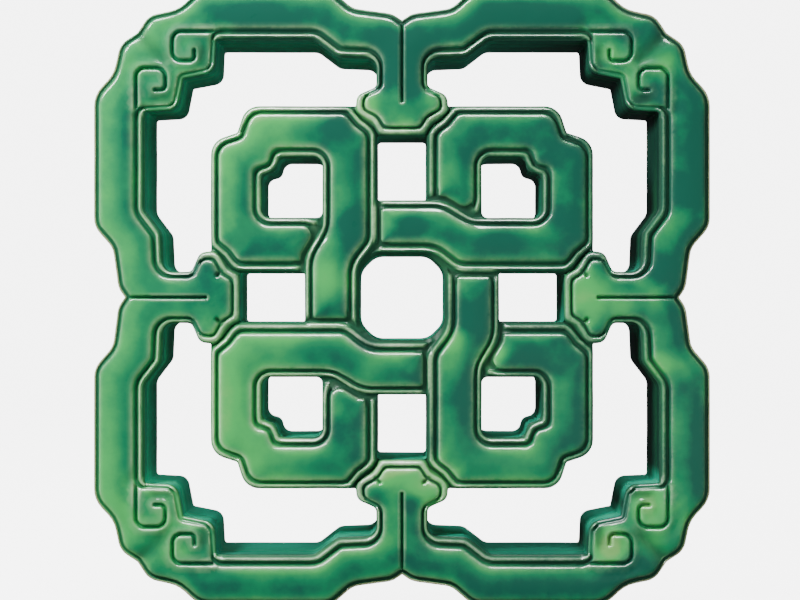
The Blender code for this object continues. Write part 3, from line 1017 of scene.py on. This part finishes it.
# The thinness over which one colour gives way to the next
TO_GREEN = (-0.1, 0.5)
TO_LEAF = (0.35, 1.15)
TO_SAND = (1.1, 1.9)
TO_BRIGHT_WALL = (0.5, 1.3)
TO_PALE_CLAY = (0.42, 0.58)

# Heights above the ground, in metres, over which a change comes in: below the first, walls that look up are
# painted as lit, but only above the second, and above the third the outer edge's level stretches are
# painted in shade
LOW_DOWN = (0.10, 0.22)
LEDGES = (0.027, 0.033)
HIGH_UP = (0.12, 0.2)

# How far behind the middle, in metres, the glaze gives way to bare clay
BARE = (0.0225, 0.0238)

# Painted light and shade across a body's upright and level stretches, given as thinness, from the side to
# the light to the one in shade
SHADING_ACROSS_UPRIGHT = [(0, 0.7), (0.2, 0.72), (0.4, 0.62), (0.6, 0.42), (0.78, 0.2), (0.9, 0.25), (1, 0.45)]
SHADING_ACROSS_LEVEL = [
    (0, 0.9), (0.12, 0.8), (0.3, 0.42), (0.5, 0.2), (0.7, 0.18), (0.85, 0.34), (0.95, 0.5), (1, 0.55),
]

# Where the glaze lies thinner or thicker than elsewhere, and where highlights and shade are painted: across,
# up, reach and how much lighter
GLAZE_AND_LIGHT_PATCHES = [
    (-86, 92, 55, 0.8), (-95, 228, 34, 0.45), (-142, 50, 70, 0.25), (92, 150, 22, 1.2), (10, 60, 26, 1.1),
    (-18, 241, 11, 1.3), (16, 243, 11, 0.5), (0, 234, 12, 0.7), (0, 268, 24, -0.8), (-98, 158, 18, -0.3),
    (-9, 256, 12, -0.9), (-92, 134, 12, 0.3), (-101, 135, 11, -0.6), (-112, 150, 18, 0.2),
    (145, 106, 16, 0.4), (112, 262, 16, 0.5), (120, 49, 13, 1.4), (102, 29, 13, 1.9), (-112, 262, 20, 0.2),
    (-108, 42, 24, 0.3), (137, 44, 20, 0.8), (136, 106, 13, -0.5), (124, 166, 13, -0.7),
    (74, 191, 13, -0.6), (31, 142, 14, -0.8), (-10, 66, 11, 1.0), (12, 78, 11, -1.0), (43, 121, 12, 1.0),
    (-15, 114, 12, 0.5), (-33, 86, 13, -0.6), (-31, 208, 16, -0.2), (-30, 236, 14, -0.5), (0, 69, 10, 0.6),
    (101, 267, 10, 0.9), (128, 264, 14, 0.8), (-66, 199, 12, 0.6), (-110, 24, 12, 0.5), (4, 50, 9, -0.8),
    (5, 251, 10, -0.8), (24, 130, 9, 0.8), (133, 201, 16, -0.8), (122, 32, 14, 0.9), (109, 147, 10, 0.9),
    (124, 117, 10, 0.8), (104, 47, 9, -0.6), (5, 186, 12, -0.5), (48, 182, 16, -0.5), (-17, 127, 11, -0.5),
    (-20, 156, 10, 0.5), (-71, 241, 11, 0.5), (138, 119, 12, 0.6), (122, 150, 14, 0.8),
    (-101, 165, 10, -0.5), (-26, 184, 13, -0.8), (-34, 160, 16, 0.8), (85, 220, 34, -0.3),
    (60, 292, 40, -0.25), (142, 220, 40, -0.3), (-70, 292, 34, -0.3), (30, 292, 14, 0.4),
    (24, 166, 16, 0.4), (-60, 128, 24, 0.35), (60, 62, 30, 0.45), (-60, 62, 30, 0.35), (-60, 232, 28, 0.7),
    (28, 60, 30, 0.3), (26, 118, 14, 0.35), (27, 102, 16, -0.3), (0, 119, 16, 0.3),
]

# Painted reflection bands and shade down a wall, given as thinness, and its ridges, by share of its depth
WALL_DEPTH = 47.0
WALL_SHEEN_BANDS = [(0.0, 0.2), (0.08, 0.1), (0.2, 0.6), (0.4, 0.4), (0.7, 0.2), (1.0, 0.0)]
WALL_RIDGES = [
    (0, 0.3), (0.04, 0), (0.1, 1), (0.17, 0), (0.25, 1), (0.34, 0), (0.5, 0.8), (0.75, 0), (1, 0.3),
]


def glaze():
    """Green glaze over buff clay: pale where it runs thin, dark where it pools, mottled between, with
    painted
    light and shade on it: across the bodies, down the walls, to the right, under crossing strands, in
    patches, and painted highlights on beads that look up.
    """
    material = bpy.data.materials.new("green_glaze")
    material.use_nodes = True
    nodes = Nodes(material.node_tree)
    shader = material.node_tree.nodes["Principled BSDF"]
    where = nodes.node("ShaderNodeTexCoord", output="Object")
    x, y, z = (nodes.node("ShaderNodeSeparateXYZ", {}, (where,), output=i) for i in range(3))
    names = ("thin", "deep", "body", "across", "level", "depth", "outer")
    thin, deep, body, across, level, depth, outer = (nodes.attribute(name) for name in names)

    clouds, mottle, streaks = (nodes.noise(where, *noise) for noise in (CLOUDS, MOTTLE, STREAKS))
    right = (x / (2 * HALF * MM) + 0.5).clamped()
    across = across + (mottle - 0.5) * 0.2
    # Painted light and shade across the bodies: lighter toward the side to the light
    face = nodes.mixed(level, nodes.curve(across, SHADING_ACROSS_UPRIGHT), nodes.curve(across, SHADING_ACROSS_LEVEL))
    on_wall = depth.over(0.0, 1.0)
    # Painted reflection bands down the walls, darker toward the back
    wall_sheen = nodes.curve(depth / WALL_DEPTH, WALL_SHEEN_BANDS)
    light = nodes.mixed(body, nodes.mixed(on_wall, RIM_THINNESS, wall_sheen), face)
    light = light + (clouds - 0.5) * BY_CLOUDS + (mottle - 0.5) * BY_MOTTLE + (streaks - 0.5) * BY_STREAKS
    # Darker to the right: partly thicker glaze, partly painted shade
    light = light + THINNESS - right * RIGHT_GLAZE_AND_SHADE
    glaze_and_light_spots = 0.0
    # Patches of thinner or thicker glaze and of painted highlights and shade
    for patch_x, patch_z, reach, amount in GLAZE_AND_LIGHT_PATCHES:
        middle = (patch_x * MM, -THICK / 2 * MM, patch_z * MM)
        away = nodes.vector("DISTANCE", where, middle, output="Value")
        ragged = away + (mottle - 0.5) * reach * 0.5 * MM
        glaze_and_light_spots = glaze_and_light_spots + (1 - ragged.over_mm(0.0, reach)) * amount
    light = light + glaze_and_light_spots

    # The colour follows the thinness together with its painted light and shade
    colour = nodes.blended(light.over(*TO_GREEN), TEAL, GREEN)
    colour = nodes.blended(light.over(*TO_LEAF), colour, LEAF)
    colour = nodes.blended(light.over(*TO_SAND) * 0.75, colour, SAND)

    # Painted shade darkens the walls to the right, and painted light brightens those that look up low down
    low = 1 - z.over(*LOW_DOWN)
    wall_colour = nodes.blended(light.over(*TO_BRIGHT_WALL), WALL, BRIGHT_WALL)
    wall_colour = nodes.blended(right.over(0.45, 0.95) * (1 - level * low), wall_colour, DARK_WALL)
    wall_colour = nodes.blended(level * low * z.over(*LEDGES), wall_colour, BRIGHT_WALL)
    colour = nodes.blended(on_wall * 0.75, colour, wall_colour)

    # Cream of thin glaze comes and goes along the beads. Painted light makes it show more on what looks up
    # or to the left, painted shade less on what is turned from the light and to the right; beads that look
    # up get a painted highlight, and the outer edge's buff is painted in shade on level stretches high up
    worn, frayed = nodes.noise(where, *WEAR), nodes.noise(where, *FRAY)
    turned_from_light = across.over(0.5, 1.0) * 0.12 + right.over(0.4, 0.8) * 0.62
    pale = thin * (0.8 + (worn - 0.5) * 1.8 + (frayed - 0.5) * 2.2 * right) * (1.0 - turned_from_light)
    pale = pale.clamped() * ((0.72 + glaze_and_light_spots * 0.6).clamped() * 1.35)
    shaded = level.over(0.0, 0.6) * z.over(*HIGH_UP) * (1 - right.over(0.6, 0.9))
    pale_edge = (thin * (0.8 + (worn - 0.5) * 1.4) * (1 - shaded * 0.75)).clamped()
    pale = nodes.mixed(outer, pale, pale_edge)
    # Painted highlight on beads that look up
    upper = level * (1 - across.over(0.15, 0.6))
    cream = nodes.blended(outer * 0.8, nodes.blended(upper, CREAM, HIGHLIGHT_CREAM), BUFF)
    colour = nodes.blended(pale * 0.8, colour, cream)
    # Pooled glaze darkens the grooves, more to the right by painted shade
    pooled = deep * (0.72 + right.over(0.2, 0.5) * 0.22)
    colour = nodes.blended(pooled.clamped(), colour, POOL)

    # The bare back, and the glaze's ragged edge on the walls
    behind = (y + (mottle - 0.5) * 0.006).over(*BARE)
    clay = nodes.blended((mottle * 0.6 + streaks * 0.4).over(*TO_PALE_CLAY), CLAY, PALE_CLAY)
    colour = nodes.blended(behind, colour, clay)

    skin, ripple = nodes.noise(where, *SKIN), nodes.noise(where, *RIPPLES)
    pits = nodes.node("ShaderNodeTexVoronoi", {"feature": "F1"}, {"Vector": where, "Scale": PIT_SCALE})
    pit = 1 - pits.over(0.04, 0.12)
    ridges = nodes.curve(depth / WALL_DEPTH, WALL_RIDGES) * on_wall * (1 - outer * 0.7)
    bump_height = ripple * 0.6 + skin * (0.12 + thin * 0.5) - pit * 0.5 + ridges * 5.0
    inputs = {"Strength": 0.3, "Distance": 0.4 * MM, "Height": bump_height}
    normal = nodes.node("ShaderNodeBump", {}, inputs)
    links = {
        "Base Color": colour,
        "Roughness": 0.3 + (ripple - 0.5) * 0.12 + behind * 0.4 + on_wall * 0.2,
        "Coat Weight": (1.0 - on_wall * 0.8 - deep * 1.15 - outer * 0.45).clamped(),
        "Normal": normal,
    }
    for name, value in links.items():
        material.node_tree.links.new(value.socket, shader.inputs[name])
    shader.inputs["Specular IOR Level"].default_value = 0.06
    shader.inputs["Coat Roughness"].default_value = 0.13
    return material


# Studio

# The floor: its radius, the radius of its curve, its height, how finely it is divided, and its glow
SWEEP_RADIUS = 2.2
SWEEP_CURVE = 0.5
SWEEP_HEIGHT = 2.6
SWEEP_STEPS = 12
SWEEP_TURNS = 72
SWEEP_GLOW = 5.95


def sweep():
    """A round pale floor that curves up all round into the backdrop."""
    bottom = cad_box[0][2]
    curve = [math.pi / 2 * step / SWEEP_STEPS for step in range(SWEEP_STEPS + 1)]
    flat = SWEEP_RADIUS - SWEEP_CURVE
    profile = [(flat + SWEEP_CURVE * math.sin(a), bottom + SWEEP_CURVE * (1 - math.cos(a))) for a in curve]
    profile.append((SWEEP_RADIUS, SWEEP_HEIGHT))
    around = [math.tau * turn / SWEEP_TURNS for turn in range(SWEEP_TURNS)]
    points = [(radius * math.cos(a), radius * math.sin(a), z) for radius, z in profile for a in around]
    faces = [list(range(SWEEP_TURNS))]
    for row in range(len(profile) - 1):
        for turn in range(SWEEP_TURNS):
            inner, outer = row * SWEEP_TURNS, (row + 1) * SWEEP_TURNS
            after = (turn + 1) % SWEEP_TURNS
            faces.append((inner + turn, outer + turn, outer + after, inner + after))
    material = bpy.data.materials.new("pale_sweep")
    material.use_nodes = True
    shader = material.node_tree.nodes["Principled BSDF"]
    shader.inputs["Base Color"].default_value = (0.35, 0.35, 0.35, 1.0)
    shader.inputs["Roughness"].default_value = 0.9
    shader.inputs["Specular IOR Level"].default_value = 0.0
    shader.inputs["Emission Color"].default_value = (1.0, 1.0, 1.0, 1.0)
    shader.inputs["Emission Strength"].default_value = SWEEP_GLOW
    mesh = bpy.data.meshes.new("studio_sweep")
    mesh.from_pydata(points, [], faces)
    mesh.shade_smooth()
    mesh.materials.append(material)
    obj = in_scene("studio_sweep", mesh)
    obj.visible_glossy = False
    obj.visible_diffuse = False
    return obj


def softbox(name, place, size, power, shine=True, fill=True):
    """A square light that faces the tile's middle. It may be left out of the reflections, or give only
    those."""
    light = bpy.data.lights.new(name, "AREA")
    light.shape = "RECTANGLE"
    light.size, light.size_y = size
    light.energy = power
    obj = in_scene(name, light)
    obj.visible_glossy = shine
    obj.visible_diffuse = fill
    obj.location = place
    middle = Vector((0.0, 0.0, HALF * MM))
    obj.rotation_euler = (middle - Vector(place)).to_track_quat("-Z", "Y").to_euler()


def camera():
    """Level and square on, where the photograph was taken from."""
    distance, focal_pixels, image_width = 893.0, 1840.0, 800.0
    pixels_per_mm = 2.06
    centre_right, centre_above = 2.0, 2.6
    view = bpy.data.cameras.new("camera")
    view.sensor_width = 36.0
    view.lens = focal_pixels / image_width * view.sensor_width
    obj = in_scene("camera", view)
    front = cad_box[0][1]
    across = -centre_right / pixels_per_mm * MM
    up = (HALF - centre_above / pixels_per_mm) * MM
    obj.location = (across, front - distance * MM, up)
    obj.rotation_euler = (math.pi / 2, 0.0, 0.0)
    bpy.context.scene.camera = obj


def world():
    made = bpy.data.worlds.new("studio")
    made.use_nodes = True
    background = made.node_tree.nodes["Background"]
    background.inputs["Color"].default_value = (0.9, 0.95, 1.0, 1.0)
    background.inputs["Strength"].default_value = 0.04
    bpy.context.scene.world = made


# Name, place, size and power of each light, and what else is said of it
LIGHTS = [
    ("key", (-0.60, -0.50, 0.62), (0.24, 0.24), 10.5, {}),
    ("overhead", (-0.1, -0.12, 1.2), (1.0, 0.12), 8.5, {}),
    ("side", (-1.1, -0.25, 0.2), (0.3, 1.0), 5.0, {}),
    ("low", (0.35, -0.55, 0.04), (0.8, 0.2), 2.6, {"shine": False}),
    ("rim", (-0.2, -0.5, 1.1), (1.2, 0.36), 75.0, {"fill": False}),
    ("behind", (0.0, 0.7, 0.9), (0.9, 0.4), 5.0, {"shine": False}),
]


def main():
    tile = glazed_tile(glaze())
    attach(tile, "root")
    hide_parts("breeze_block")
    sweep()
    world()
    for name, place, size, power, more in LIGHTS:
        softbox(name, place, size, power, **more)
    camera()


main()
